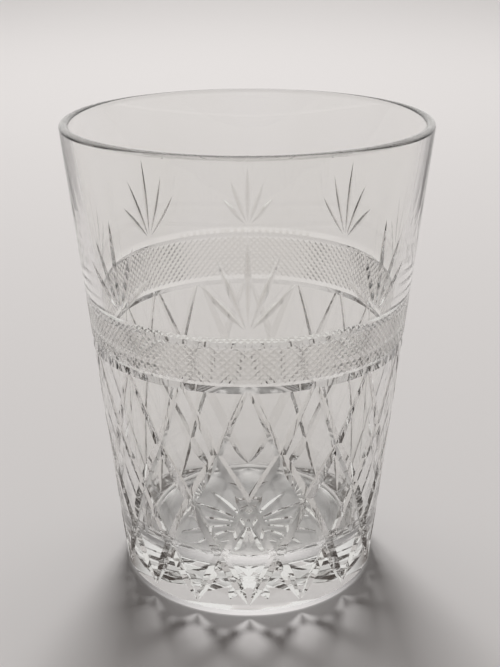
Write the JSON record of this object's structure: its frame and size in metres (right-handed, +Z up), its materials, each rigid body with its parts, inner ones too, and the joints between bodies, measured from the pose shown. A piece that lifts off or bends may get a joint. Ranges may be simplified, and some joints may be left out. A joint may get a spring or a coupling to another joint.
{
  "type": "whiskey tumbler",
  "caption": "Tapered clear cut-glass tumbler with a thick base, a hatched band between ring cuts, leaf-spray cuts above and a diamond lattice below.",
  "frame": {"origin": "middle of the foot, on the surface the tumbler stands on", "axes": "+Z up along the tumbler's axis, towards the rim; -Y towards the side where a leaf spray and a diamond are centred"},
  "size_m": [0.078, 0.078, 0.1028],
  "materials": {
    "cut_glass": "clear lead crystal, fire-polished blank with acid-polished wheel cuts"
  },
  "bodies": {
    "root": {"tumbler": "cut_glass"}
  },
  "joints": []
}
